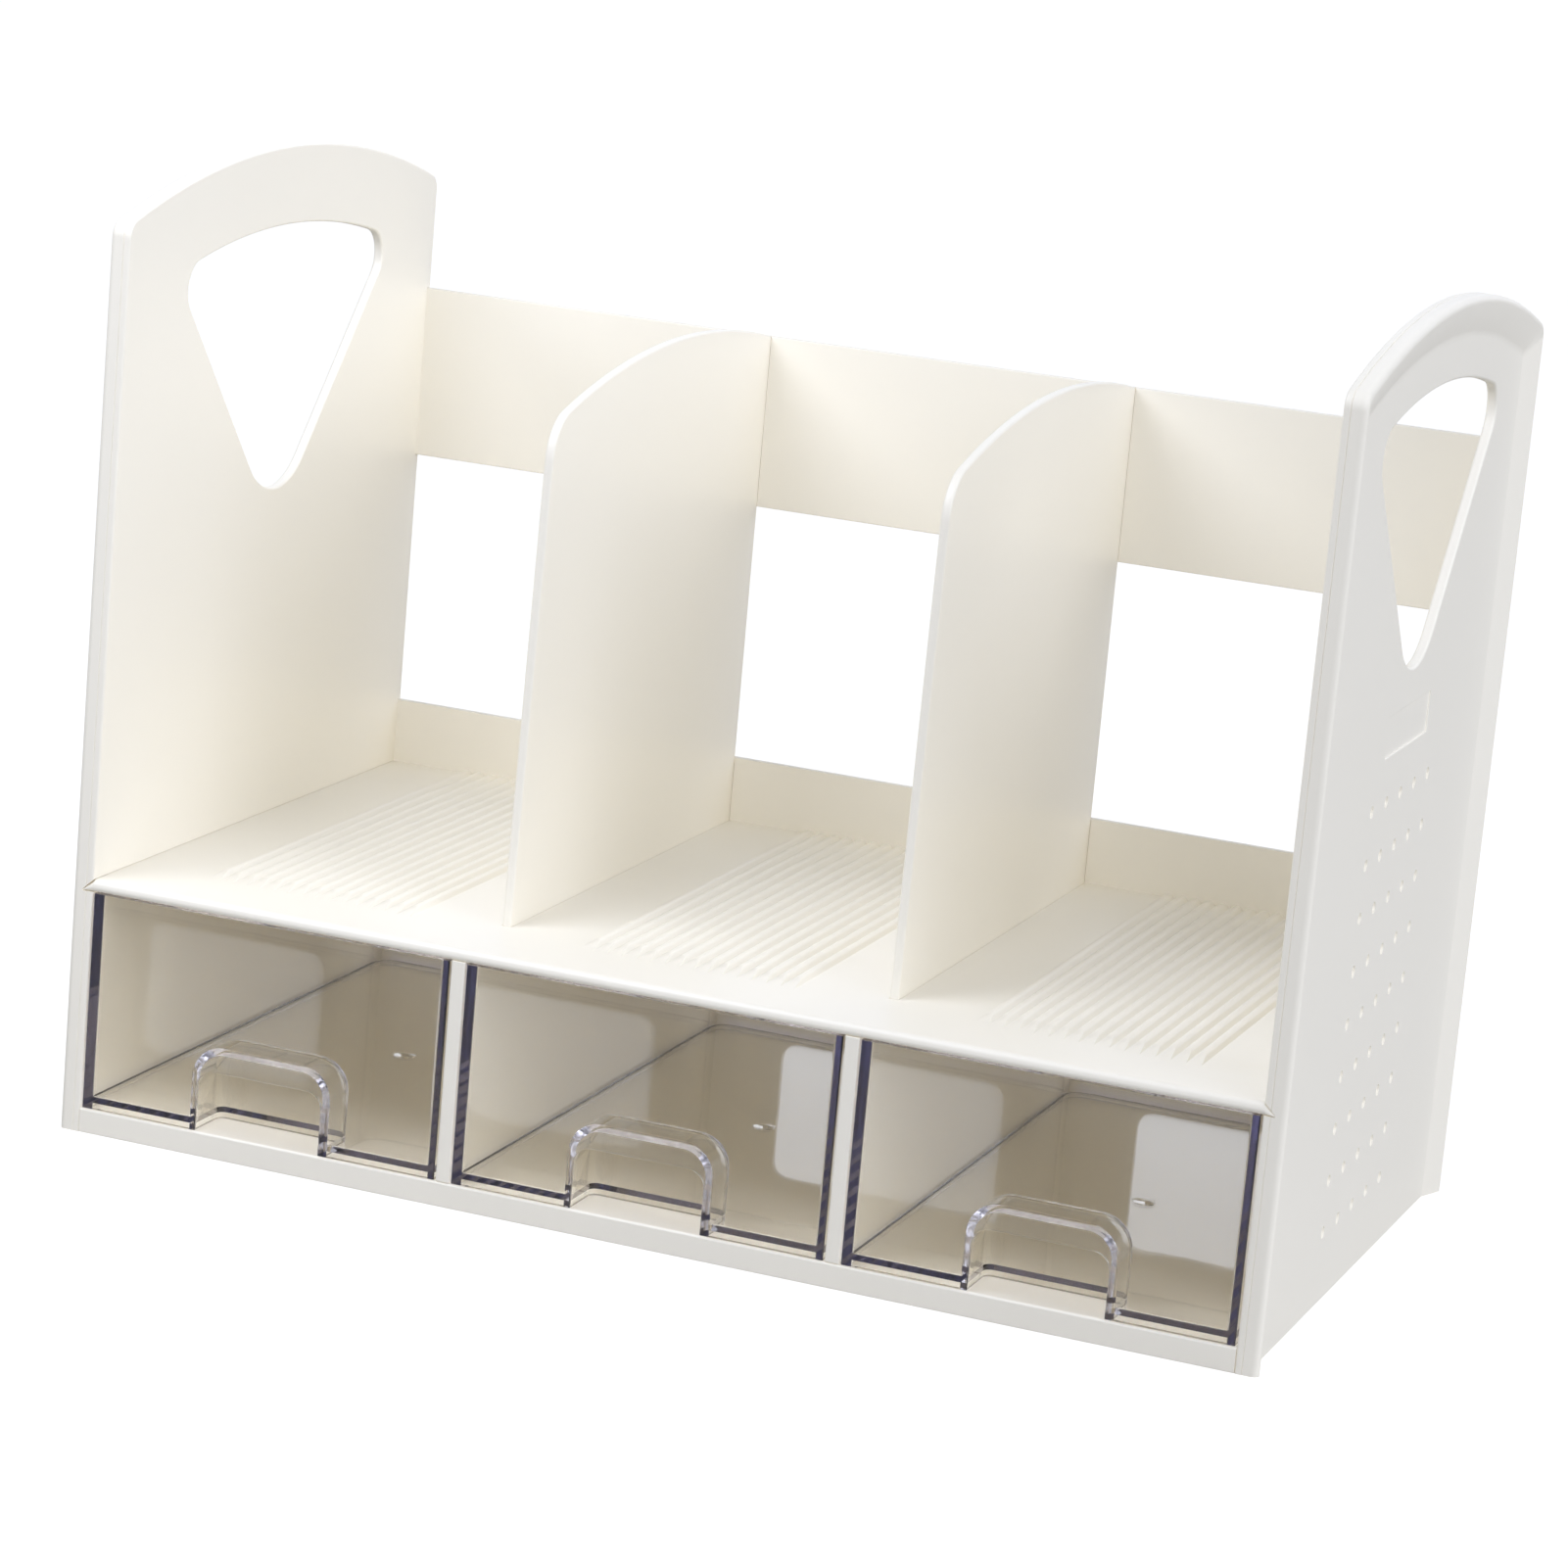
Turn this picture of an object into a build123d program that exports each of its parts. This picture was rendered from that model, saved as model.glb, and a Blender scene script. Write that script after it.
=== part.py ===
from build123d import *
import os
from math import floor, sqrt

# A desk magazine file: three open file bays above three see-through drawers.
# It is a kit of flat moulded panels that slot together, with no screws.
# Lengths are millimetres. X runs left to right, Y front to back and Z up.
# The origin is on the desk, under the middle of the body.

# Body
body_width = 345.0
body_depth = 190.0
body_height = 266.5
overrun = 5.0  # how far a cut runs past the material

# Joints between the panels
tongue_depth = 1.6  # how far a panel's end enters the side panels
groove_depth = 1.2  # how far an upright enters the shelf and the base
joint_clearance = 0.1  # room beside and beyond each tongue
joint_setback = 6.0  # hidden tongues start this far behind the front

# Side panels
side_thickness = 6.2
field_recess = 3.2  # the outer face is sunk this far inside its border
border_width = 10.5  # from the panel's edge to the flat of the sunk field
rim_width = 2.0  # the narrow flat between the edge and the sloped border
panel_edge_radius = 1.8
panel_corner_radius = 5.0
arch_radius = 300.0  # top of the side panels and of the file dividers

# Handle hole: an arched top and two straight sides that meet in a round tip
handle_top_margin = 22.3
handle_side_margin = 28.4  # to the corner that the two outlines would make
handle_height = 86.8  # from the top of the hole to where its sides would meet
handle_arch_radius = 250.0
handle_corner_radius = 8.0
handle_tip_radius = 21.0

# Sunk nameplate, left bare, and the rows of round dimples below it
plate_width = 44.0
plate_height = 11.2
plate_depth = 0.5
plate_drop = 10.0  # below the handle hole's tip
dimple_diameter = 3.4
dimple_depth = 0.8
dimple_columns = 5
dimple_pitch_across = 14.6
dimple_pitch_down = 14.3
dimple_drop = 12.8  # from the nameplate to the first row
dimple_margin = 14.0  # least height of the last row above the desk

# Drawer bays
base_height = 7.0
base_thickness = 2.6
base_edge_radius = 0.8
bay_height = 61.4
partition_thickness = 4.0
partition_tongue = 2.0

# Shelf
shelf_thickness = 3.4
shelf_edge_radius = 2.4  # top of the front edge
shelf_ear_reach = 2.6  # the front corners enter the side panels this far
shelf_ear_depth = 8.0
rib_pitch = 4.16
rib_width = 3.0
rib_height = 0.9
rib_flank_share = 0.28  # each sloped flank, as a share of the rib's width
rib_side_margin = 23.0  # plain strip between a bay's wall and its first rib
rib_front_margin = 23.0

# Back
back_thickness = 2.2
back_lip = 19.4  # height of the lower back panel above the shelf
rail_bottom = 167.2
rail_height = 50.8
back_groove_depth = 0.8

# Windows in the lower back panel, one behind each drawer
window_width = 61.0
window_height = 42.0
window_lift = 6.2  # above the floor of the drawer bay
window_corner_radius = 5.0

# File dividers
divider_thickness = 2.7
divider_setback = 30.0  # from the body's front to the divider's foot
divider_lean = 4.5  # the front edge leans back by this much
divider_crown_setback = 60.0  # from the divider's rear edge to its highest point
divider_corner_radius = 14.0

# Drawers
drawer_side_clearance = 0.5
drawer_top_clearance = 1.0
drawer_floor_clearance = 0.2
drawer_rear_clearance = 0.3
drawer_side_wall = 2.4
drawer_front_wall = 2.2
drawer_floor_lift = 1.4  # the floor stands this far above the runners
drawer_floor_thickness = 1.6
drawer_rear_radius = 8.0
drawer_front_radius = 3.0  # inside, between the front and each side
drawer_floor_radius = 1.6  # inside, between the floor and the walls
gate_diameter = 7.0  # moulding gate, a dimple under the middle of the floor
gate_depth = 0.6

# Finger pocket in the foot of each drawer front
pocket_width = 37.4
pocket_height = 22.0
pocket_depth = 17.0
pocket_wall = 2.2
pocket_corner_radius = 7.0
pocket_lip = 4.8  # the front hangs this far below the pocket's roof
pocket_lip_radius = 4.8

# Places that follow from the sizes above
half_width = body_width / 2
half_depth = body_depth / 2
front = -half_depth
inner_face = half_width - side_thickness
back_face = half_depth - back_thickness
bay_width = (2 * inner_face - 2 * partition_thickness) / 3
bay_step = bay_width + partition_thickness
upright_x = bay_step / 2
shelf_bottom = base_height + bay_height
shelf_top = shelf_bottom + shelf_thickness
back_top = shelf_top + back_lip
rail_top = rail_bottom + rail_height
tongue_end = inner_face + tongue_depth - joint_clearance
ear_end = inner_face + shelf_ear_reach - joint_clearance
handle_top = body_height - handle_top_margin
handle_foot = handle_top - handle_height
drawer_width = bay_width - 2 * drawer_side_clearance
drawer_bottom = base_height + drawer_floor_clearance
drawer_top = shelf_bottom - drawer_top_clearance
drawer_rear = back_face - drawer_rear_clearance
drawer_floor_bottom = drawer_bottom + drawer_floor_lift
drawer_floor_top = drawer_floor_bottom + drawer_floor_thickness


def block(x, y, z):
    """A box between two places along each axis."""
    low = (Align.MIN, Align.MIN, Align.MIN)
    return Pos(x[0], y[0], z[0]) * Box(x[1] - x[0], y[1] - y[0], z[1] - z[0], align=low)


def across(profile, x, thickness):
    """Extrude a profile drawn in Y and Z, from x towards the right."""
    return extrude(Plane.YZ.offset(x) * profile, thickness)


def back_from(profile, y, length):
    """Extrude a profile drawn in X and Z, from y towards the back."""
    return extrude(Plane.XZ.offset(-(y + length)) * profile, length)


def arch_height(radius, crown, offset):
    """Height of an arch at a distance from its highest point."""
    return crown - radius + sqrt(radius**2 - offset**2)


def panel_profile(inset, below):
    """Side panel outline in Y and Z, drawn in from its edges."""
    half = half_depth - inset
    crown = body_height - inset
    shoulder = arch_height(arch_radius - inset, crown, half)
    return make_face([
        Line((-half, -below), (half, -below)),
        Line((half, -below), (half, shoulder)),
        ThreePointArc((half, shoulder), (0, crown), (-half, shoulder)),
        Line((-half, shoulder), (-half, -below)),
    ])


def handle_profile():
    """Handle hole outline in Y and Z."""
    half = half_depth - handle_side_margin
    shoulder = arch_height(handle_arch_radius, handle_top, half)
    profile = make_face([
        ThreePointArc((-half, shoulder), (0, handle_top), (half, shoulder)),
        Line((half, shoulder), (0, handle_foot)),
        Line((0, handle_foot), (-half, shoulder)),
    ])
    profile = fillet(profile.vertices().sort_by(Axis.Y)[1:], handle_corner_radius)
    return fillet(profile.vertices().sort_by(Axis.Y)[0], handle_tip_radius)


def sunk_marks(handle):
    """Nameplate recess and dimples, cut into the sunk field below the handle hole."""
    field = Plane.YZ.offset(half_width - field_recess)
    plate_top = handle.bounding_box().min.Y - plate_drop
    plate_bottom = plate_top - plate_height
    plate = Pos(0, (plate_top + plate_bottom) / 2) * Rectangle(plate_width, plate_height)
    first_row = plate_bottom - dimple_drop
    rows = 1 + floor((first_row - dimple_margin) / dimple_pitch_down)
    middle = first_row - (rows - 1) * dimple_pitch_down / 2
    places = GridLocations(dimple_pitch_across, dimple_pitch_down, dimple_columns, rows)
    dimples = Pos(0, middle) * places * Circle(dimple_diameter / 2)
    return extrude(field * plate, -plate_depth) + extrude(field * Sketch(children=dimples), -dimple_depth)


def side_panel():
    """Right side panel: flat inside, with the outer face sunk inside a sloped border."""
    profile = panel_profile(0, 0)
    profile = fillet(profile.vertices().sort_by(Axis.Y)[2:], panel_corner_radius)
    panel = across(profile, inner_face, side_thickness)
    outer_edges = panel.faces().sort_by(Axis.X)[-1].edges().sort_by(Axis.Z)[1:]
    panel = fillet(outer_edges, panel_edge_radius)
    rim = Plane.YZ.offset(half_width) * panel_profile(rim_width, overrun)
    field = Plane.YZ.offset(half_width - field_recess) * panel_profile(border_width, overrun)
    panel -= loft([rim, field], ruled=True)
    handle = handle_profile()
    panel -= across(handle, inner_face - overrun, side_thickness + 2 * overrun)
    panel -= sunk_marks(handle)
    slot_x = (inner_face - overrun, inner_face + tongue_depth)
    ear_x = (inner_face - overrun, inner_face + shelf_ear_reach)
    ear_y = (front - overrun, front + shelf_ear_depth + joint_clearance)
    shelf_z = (shelf_bottom, shelf_top + joint_clearance)
    base_z = (base_height - base_thickness, base_height + joint_clearance)
    rail_z = (rail_bottom - joint_clearance, rail_top + joint_clearance)
    behind = (back_face, half_depth + overrun)
    panel -= block(slot_x, (front - overrun, back_face), shelf_z)
    panel -= block(ear_x, ear_y, shelf_z)
    panel -= block(slot_x, (front + joint_setback, back_face), base_z)
    panel -= block(slot_x, behind, (-overrun, back_top + joint_clearance))
    panel -= block(slot_x, behind, rail_z)
    return panel


def uprights():
    """X of the two lines of uprights: partitions below the shelf, dividers above it."""
    return (-upright_x, upright_x)


def bays():
    """X of the middle of each bay."""
    return (-bay_step, 0, bay_step)


def groove(x, width, y, z):
    """Cut for an upright of a given width, centred on x."""
    reach = width / 2 + joint_clearance
    return block((x - reach, x + reach), y, z)


def rib_profile():
    """One shelf rib in X and Z, standing on the shelf at X = 0."""
    half = rib_width / 2
    top = half - rib_width * rib_flank_share
    return make_face(Polyline(
        (-half, shelf_top), (half, shelf_top),
        (top, shelf_top + rib_height), (-top, shelf_top + rib_height),
        close=True,
    ).edges())


def shelf_deck():
    """Shelf with a field of fine ribs in each bay, and grooves for the uprights."""
    deck = block((-tongue_end, tongue_end), (front, back_face), (shelf_bottom, shelf_top))
    deck += block((-ear_end, ear_end), (front, front + shelf_ear_depth), (shelf_bottom, shelf_top))
    front_edge = deck.edges().filter_by(Axis.X).group_by(Axis.Y)[0].sort_by(Axis.Z)[-1]
    deck = fillet(front_edge, shelf_edge_radius)
    count = 1 + floor((bay_width - 2 * rib_side_margin - rib_width) / rib_pitch)
    rib_start = front + rib_front_margin
    rib = back_from(rib_profile(), rib_start, back_face - rib_start)
    for bay in bays():
        deck += [Pos(bay) * place * rib for place in GridLocations(rib_pitch, 0, count, 1)]
    top_z = (shelf_top - groove_depth, shelf_top + overrun)
    under_z = (shelf_bottom - overrun, shelf_bottom + groove_depth + joint_clearance)
    for x in uprights():
        foot_y = (front + divider_setback - joint_clearance, back_face + overrun)
        deck -= groove(x, divider_thickness, foot_y, top_z)
        tongue_y = (front + joint_setback - joint_clearance, back_face + overrun)
        deck -= groove(x, partition_tongue, tongue_y, under_z)
    return deck


def base_panel():
    """Bottom of the drawer bays: a plate with a front skirt down to the desk."""
    plate_z = (base_height - base_thickness, base_height)
    skirt_y = (front, front + base_thickness)
    tongue_start = front + joint_setback + joint_clearance
    base = block((-inner_face, inner_face), (front, back_face), plate_z)
    base += block((-tongue_end, tongue_end), (tongue_start, back_face), plate_z)
    base += block((-inner_face, inner_face), skirt_y, (0, base_height))
    base += block((-inner_face, inner_face), (back_face - base_thickness, back_face), (0, base_height))
    front_edge = base.edges().filter_by(Axis.X).group_by(Axis.Y)[0].sort_by(Axis.Z)[-1]
    base = fillet(front_edge, base_edge_radius)
    for x in uprights():
        tongue_y = (front + joint_setback - joint_clearance, back_face + overrun)
        cut_z = (base_height - groove_depth - joint_clearance, base_height + overrun)
        base -= groove(x, partition_tongue, tongue_y, cut_z)
    return base


def back_strip(bottom, top):
    """A strip across the back, grooved where the file dividers enter it."""
    strip = block((-tongue_end, tongue_end), (back_face, half_depth), (bottom, top))
    for x in uprights():
        groove_y = (back_face - overrun, back_face + back_groove_depth + joint_clearance)
        groove_z = (max(bottom, shelf_top - groove_depth) - joint_clearance, top + overrun)
        strip -= groove(x, divider_thickness, groove_y, groove_z)
    return strip


def lower_back_panel():
    """Closes the back of the drawer bays and stops the drawers, with a window behind each."""
    middle = base_height + window_lift + window_height / 2
    window = Pos(0, middle) * RectangleRounded(window_width, window_height, window_corner_radius)
    cut = back_from(window, back_face - overrun, back_thickness + 2 * overrun)
    return back_strip(0, back_top) - [Pos(bay) * cut for bay in bays()]


def drawer_partition(x):
    """Wall between two drawers, with tongues into the shelf and the base."""
    half = partition_thickness / 2
    tongue = partition_tongue / 2
    wall = block((x - half, x + half), (front, back_face), (base_height, shelf_bottom))
    tongue_z = (base_height - groove_depth, shelf_bottom + groove_depth)
    return wall + block((x - tongue, x + tongue), (front + joint_setback, back_face), tongue_z)


def file_divider(x):
    """Upright between two file bays, level with the rail behind and arched in front."""
    foot = shelf_top - groove_depth
    rear = back_face + back_groove_depth
    foot_y = front + divider_setback
    front_y = foot_y + divider_lean
    crown_y = rear - divider_crown_setback
    crown = rail_top + arch_radius - sqrt(arch_radius**2 - divider_crown_setback**2)
    shoulder = arch_height(arch_radius, crown, crown_y - front_y)
    profile = make_face([
        Line((foot_y, foot), (rear, foot)),
        Line((rear, foot), (rear, rail_top)),
        ThreePointArc((rear, rail_top), (crown_y, crown), (front_y, shoulder)),
        Line((front_y, shoulder), (foot_y, foot)),
    ])
    corner = profile.vertices().sort_by_distance((front_y, shoulder))[0]
    profile = fillet(corner, divider_corner_radius)
    return across(profile, x - divider_thickness / 2, divider_thickness)


def drawer_outline(side_inset, front_inset, rear_radius):
    """Drawer outline in X and Y, drawn in from its walls, with round rear corners."""
    low = front + front_inset
    high = drawer_rear - side_inset
    outline = Pos(0, (low + high) / 2) * Rectangle(drawer_width - 2 * side_inset, high - low)
    return fillet(outline.vertices().sort_by(Axis.Y)[2:], rear_radius)


def upright_slab(outline, bottom, top):
    """Extrude an outline drawn in X and Y between two heights."""
    return extrude(Pos(0, 0, bottom) * outline, top - bottom)


def arch_opening(width, bottom, top, corner_radius):
    """A doorway shape in X and Z with round upper corners."""
    doorway = Pos(0, (bottom + top) / 2) * Rectangle(width, top - bottom)
    return fillet(doorway.vertices().sort_by(Axis.Y)[2:], corner_radius)


def drawer():
    """The centre drawer, closed: a clear tray on runners with a finger pocket in front."""
    inner = drawer_outline(drawer_side_wall, drawer_front_wall, drawer_rear_radius - drawer_side_wall)
    inner = fillet(inner.vertices().sort_by(Axis.Y)[:2], drawer_front_radius)
    cavity = upright_slab(inner, drawer_floor_top, drawer_top + overrun)
    cavity = fillet(cavity.faces().sort_by(Axis.Z)[0].edges(), drawer_floor_radius)
    tray = upright_slab(drawer_outline(0, 0, drawer_rear_radius), drawer_bottom, drawer_top)
    tray -= cavity
    tray -= upright_slab(inner, drawer_bottom - overrun, drawer_floor_bottom)
    gate = Pos(0, (front + drawer_rear) / 2) * Circle(gate_diameter / 2)
    tray -= upright_slab(gate, drawer_floor_bottom - overrun, drawer_floor_bottom + gate_depth)
    roof = drawer_bottom + pocket_height
    shell_width = pocket_width + 2 * pocket_wall
    shell_radius = pocket_corner_radius + pocket_wall
    shell = arch_opening(shell_width, drawer_bottom, roof + pocket_wall, shell_radius)
    hollow = arch_opening(pocket_width, drawer_bottom - overrun, roof, pocket_corner_radius)
    mouth = arch_opening(pocket_width, drawer_bottom - overrun, roof - pocket_lip, pocket_lip_radius)
    tray += back_from(shell, front, pocket_depth)
    tray -= back_from(hollow, front + drawer_front_wall, pocket_depth - pocket_wall - drawer_front_wall)
    tray -= back_from(mouth, front - overrun, overrun + pocket_depth - pocket_wall)
    return tray


right_panel = side_panel()
centre_drawer = drawer()
pieces = {
    "left_side_panel": mirror(right_panel, about=Plane.YZ),
    "right_side_panel": right_panel,
    "shelf_deck": shelf_deck(),
    "base_panel": base_panel(),
    "lower_back_panel": lower_back_panel(),
    "upper_back_rail": back_strip(rail_bottom, rail_top),
    "left_drawer_partition": drawer_partition(-upright_x),
    "right_drawer_partition": drawer_partition(upright_x),
    "left_file_divider": file_divider(-upright_x),
    "right_file_divider": file_divider(upright_x),
    "left_drawer": Pos(-bay_step) * centre_drawer,
    "centre_drawer": centre_drawer,
    "right_drawer": Pos(bay_step) * centre_drawer,
}

os.makedirs("parts", exist_ok=True)
for name, piece in pieces.items():
    export_step(piece, f"parts/{name}.step")
    print(name, piece.bounding_box().size)
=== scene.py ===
# %% [markdown]
# # A magazine file with three drawers, dressed in Blender
# The real object is a kit of ivory plastic panels that slot together, with three smoky clear
# drawers below three open file bays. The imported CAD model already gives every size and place,
# so this lesson loads it as a fixed frame and remodels each panel over it, with the round edges,
# parting lines and plastic that a camera sees.

# %% Load the frame
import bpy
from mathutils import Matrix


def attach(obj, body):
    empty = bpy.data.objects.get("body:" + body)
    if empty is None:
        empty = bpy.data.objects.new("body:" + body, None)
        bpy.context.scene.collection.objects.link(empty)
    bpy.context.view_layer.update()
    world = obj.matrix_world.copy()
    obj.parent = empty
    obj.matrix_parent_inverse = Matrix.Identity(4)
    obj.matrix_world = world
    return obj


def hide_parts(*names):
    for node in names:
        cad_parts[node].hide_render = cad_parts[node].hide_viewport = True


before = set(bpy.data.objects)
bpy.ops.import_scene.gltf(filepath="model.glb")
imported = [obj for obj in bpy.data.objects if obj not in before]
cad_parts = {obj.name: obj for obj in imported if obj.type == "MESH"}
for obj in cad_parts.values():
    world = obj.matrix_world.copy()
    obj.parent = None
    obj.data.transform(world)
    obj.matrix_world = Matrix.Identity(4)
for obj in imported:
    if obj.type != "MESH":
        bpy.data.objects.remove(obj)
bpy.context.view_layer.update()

# %% [markdown]
# ## Working in millimetres
# Moulded parts are drawn in millimetres, and Blender's frame here is in metres. One way is to
# write every length as 0.0062. It is easier to read a drawing that says 6.2, so each bmesh is
# built in millimetres, and the one function that turns it into an object scales it down.

# %% Sizes that several panels share
from math import atan2, cos, pi, radians, sin, sqrt, tan

import bmesh
import bpy
from mathutils import Matrix, Vector

MM = 0.001
body_width, body_depth, body_height = 345.0, 190.0, 266.5
half_width, half_depth = body_width / 2, body_depth / 2
front, rear = -half_depth, half_depth
side_thickness = 6.2
inner_face = half_width - side_thickness
base_height, base_thickness = 7.0, 2.6
shelf_bottom, shelf_top = 68.4, 71.8
back_thickness = 2.2
back_face = half_depth - back_thickness
back_top, rail_bottom, rail_top = 91.2, 167.2, 218.0
upright_x, bay_step = 56.1, 112.2
clearance, joint_setback = 0.1, 6.0
past = 5.0  # how far a cutter reaches past what it cuts

# %% [markdown]
# ## Drawing an outline with a pen
# Most panels are flat plates with a curved outline. The outline could be typed as a long list of
# points, but a list hides the design. Here a pen starts at one vertex: a straight move adds the
# next vertex, and an arc spins the last one about a centre, so the arcs stay true circles.

# %% Pen, planes and solids
SIDEWAYS = Matrix(((0, 0, 1, 0), (1, 0, 0, 0), (0, 1, 0, 0), (0, 0, 0, 1)))  # drawn in Y and Z
FACING = Matrix(((1, 0, 0, 0), (0, 0, -1, 0), (0, 1, 0, 0), (0, 0, 0, 1)))  # drawn in X and Z
FLAT = Matrix.Identity(4)  # drawn in X and Y


def pen(bm, start, moves, plane, level):
    """Draw a closed outline and return its edges. A move is (u, v), or an arc (u, v, turn, steps)."""
    known = set(bm.edges)
    first = last = bm.verts.new((*start, level))
    for move in moves:
        if len(move) == 2:
            ahead = bm.verts.new((*move, level))
            bm.edges.new((last, ahead))
            last = ahead
        else:
            u, v, turn, steps = move
            spun = bmesh.ops.spin(
                bm, geom=[last], cent=(u, v, level), axis=(0, 0, 1), angle=turn, steps=steps
            )
            last = next(v for v in spun["geom_last"] if isinstance(v, bmesh.types.BMVert))
    if (last.co - first.co).length < clearance / 10:
        bmesh.ops.weld_verts(bm, targetmap={last: first})
    else:
        bm.edges.new((last, first))
    edges = [e for e in bm.edges if e not in known]
    drawn = list({v for e in edges for v in e.verts})
    bmesh.ops.transform(bm, matrix=plane, verts=drawn)
    return edges


def slab(bm, edges, depth):
    """Fill an outline and extrude it by a vector. Returns the new solid's faces."""
    face = bmesh.ops.edgeloop_fill(bm, edges=edges)["faces"][0]
    known = set(bm.faces)
    grown = bmesh.ops.extrude_face_region(bm, geom=[face], use_keep_orig=True)["geom"]
    ends = [v for v in grown if isinstance(v, bmesh.types.BMVert)]
    bmesh.ops.translate(bm, vec=depth, verts=ends)
    faces = [face] + [f for f in bm.faces if f not in known]
    bmesh.ops.recalc_face_normals(bm, faces=faces)
    return faces


def box(bm, x, y, z):
    """A box between two places along each axis."""
    size = Matrix.Diagonal((x[1] - x[0], y[1] - y[0], z[1] - z[0], 1))
    middle = Matrix.Translation(((x[0] + x[1]) / 2, (y[0] + y[1]) / 2, (z[0] + z[1]) / 2))
    return bmesh.ops.create_cube(bm, size=1, matrix=middle @ size)["verts"]


def rounded(bm, edges, radius, segments=3):
    """Round edges with Blender's bevel."""
    return bmesh.ops.bevel(
        bm, geom=list(edges), offset=radius, offset_type="OFFSET", affect="EDGES",
        segments=segments, profile=0.5, material=-1, clamp_overlap=True,
    )


def edges_where(bm, test):
    """Edges whose two ends both pass a test."""
    return [e for e in bm.edges if all(test(v.co) for v in e.verts)]


def near(a, b):
    return abs(a - b) < clearance / 5


print("pen, slab, box and bevel ready")

# %% [markdown]
# ## Cutting joints
# The real panels have slots for each other's tongues. A slot could be modelled face by face, but
# the cut is only where one solid meets another, which is what the Boolean modifier finds. The
# helper lends both meshes to short-lived objects, applies the modifier and takes the result back.
# Each mesh is sorted by place before it is lent, so that every run makes the same faces.

# %% Boolean helper
ORDER = Vector((1.0, 31.4159, 977.131))  # ranks places along a slanted line, so that hardly any tie
LEVEL = radians(0.3)  # faces that meet at less than this count as one plane


def in_order(bm):
    """Sort vertices, edges and faces by place. Bevel leaves them in another order on each run."""
    bm.verts.sort(key=lambda v: ORDER.dot(v.co))
    bm.edges.sort(key=lambda e: ORDER.dot(e.verts[0].co + e.verts[1].co))
    bm.faces.sort(key=lambda f: ORDER.dot(f.calc_center_median()))


def lend(bm, name):
    in_order(bm)
    mesh = bpy.data.meshes.new(name)
    bm.to_mesh(mesh)
    lent = bpy.data.objects.new(name, mesh)
    bpy.context.scene.collection.objects.link(lent)
    return lent


def cut(bm, cutter):
    """Cut one bmesh by another, and free the cutter."""
    work, tool = lend(bm, "work"), lend(cutter, "tool")
    cutter.free()
    boolean = work.modifiers.new("cut", "BOOLEAN")
    boolean.operation, boolean.solver, boolean.object = "DIFFERENCE", "EXACT", tool
    boolean.use_self = True
    result = work.evaluated_get(bpy.context.evaluated_depsgraph_get()).to_mesh()
    bm.clear()
    bm.from_mesh(result)
    for lent in (work, tool):
        mesh = lent.data
        bpy.data.objects.remove(lent)
        bpy.data.meshes.remove(mesh)
    bmesh.ops.remove_doubles(bm, verts=bm.verts, dist=clearance / 100)
    in_order(bm)
    bmesh.ops.dissolve_limit(bm, angle_limit=LEVEL, verts=bm.verts, edges=bm.edges)


print("cutting ready")

# %% [markdown]
# ## From bmesh to a finished piece
# Every piece ends the same way: scaled to metres, shaded smooth with its true corners kept sharp,
# tied to its moving body and put in place of the CAD node. The Weighted Normal modifier lets the
# large flat faces keep flat shading, so that only the small bevels catch the light.

# %% Finishing helper
SHARP = radians(34)


def finish(bm, name, node, body, material):
    in_order(bm)
    bmesh.ops.scale(bm, vec=(MM, MM, MM), verts=bm.verts)
    mesh = bpy.data.meshes.new(name)
    bm.to_mesh(mesh)
    loose = sum(len(e.link_faces) != 2 for e in bm.edges)
    bm.free()
    mesh.shade_smooth()
    mesh.set_sharp_from_angle(angle=SHARP)
    piece = bpy.data.objects.new(name, mesh)
    bpy.context.scene.collection.objects.link(piece)
    weighted = piece.modifiers.new("flat faces stay flat", "WEIGHTED_NORMAL")
    weighted.keep_sharp = True
    mesh.materials.append(material)
    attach(piece, body)
    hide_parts(node)
    print(f"{name}: {len(mesh.polygons)} faces, {loose} open edges")


def finish_panel(bm, name, node):
    """Every panel is ivory and belongs to the carcass."""
    finish(bm, name, node, "carcass", ivory)


print("finishing ready")

# %% [markdown]
# ## Camera
# The photograph was taken from the front right, a little above, with a long lens and the picture
# turned slightly. The place and the turn were fitted to the edges of the panels, so the camera is
# set by its matrix rather than aimed at a target, which would lose the turn.

# %% Camera from the fitted view
turn = Vector((1.7554671138, 0.3959598257, -0.1892527556))  # axis times angle
eye = Matrix.Rotation(turn.length, 3, turn.normalized())
shift = Vector((-5.7448279157, 105.7660073202, 1408.516013024)) * MM
focal_pixels, picture_pixels, sensor = 5101.178, 1601, 36.0
lens = bpy.data.cameras.new("camera")
lens.sensor_width = sensor
lens.lens = focal_pixels / picture_pixels * sensor
camera = bpy.data.objects.new("camera", lens)
bpy.context.scene.collection.objects.link(camera)
upright = Matrix.Diagonal((1, -1, -1))  # the fit looks along +Z with Y down, Blender along -Z
back_turn = eye.transposed()
camera.matrix_world = Matrix.Translation(-(back_turn @ shift)) @ (back_turn @ upright).to_4x4()
bpy.context.scene.camera = camera
print("camera at", [round(v, 3) for v in camera.location], "lens", round(lens.lens, 1))

# %% [markdown]
# ## Light and floor
# The object stands on white paper in soft light. A ring of small lamps would make hard glints in
# the clear drawers, so a sky and three very wide suns act as softboxes, and one near disk above on
# the left gives the soft shadows on the shelf. The photograph's background is pure white, yet the
# panels get little light from below. So the floor is grey for the light that it throws back, and
# glows only for the rays that the camera sends out.

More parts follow.
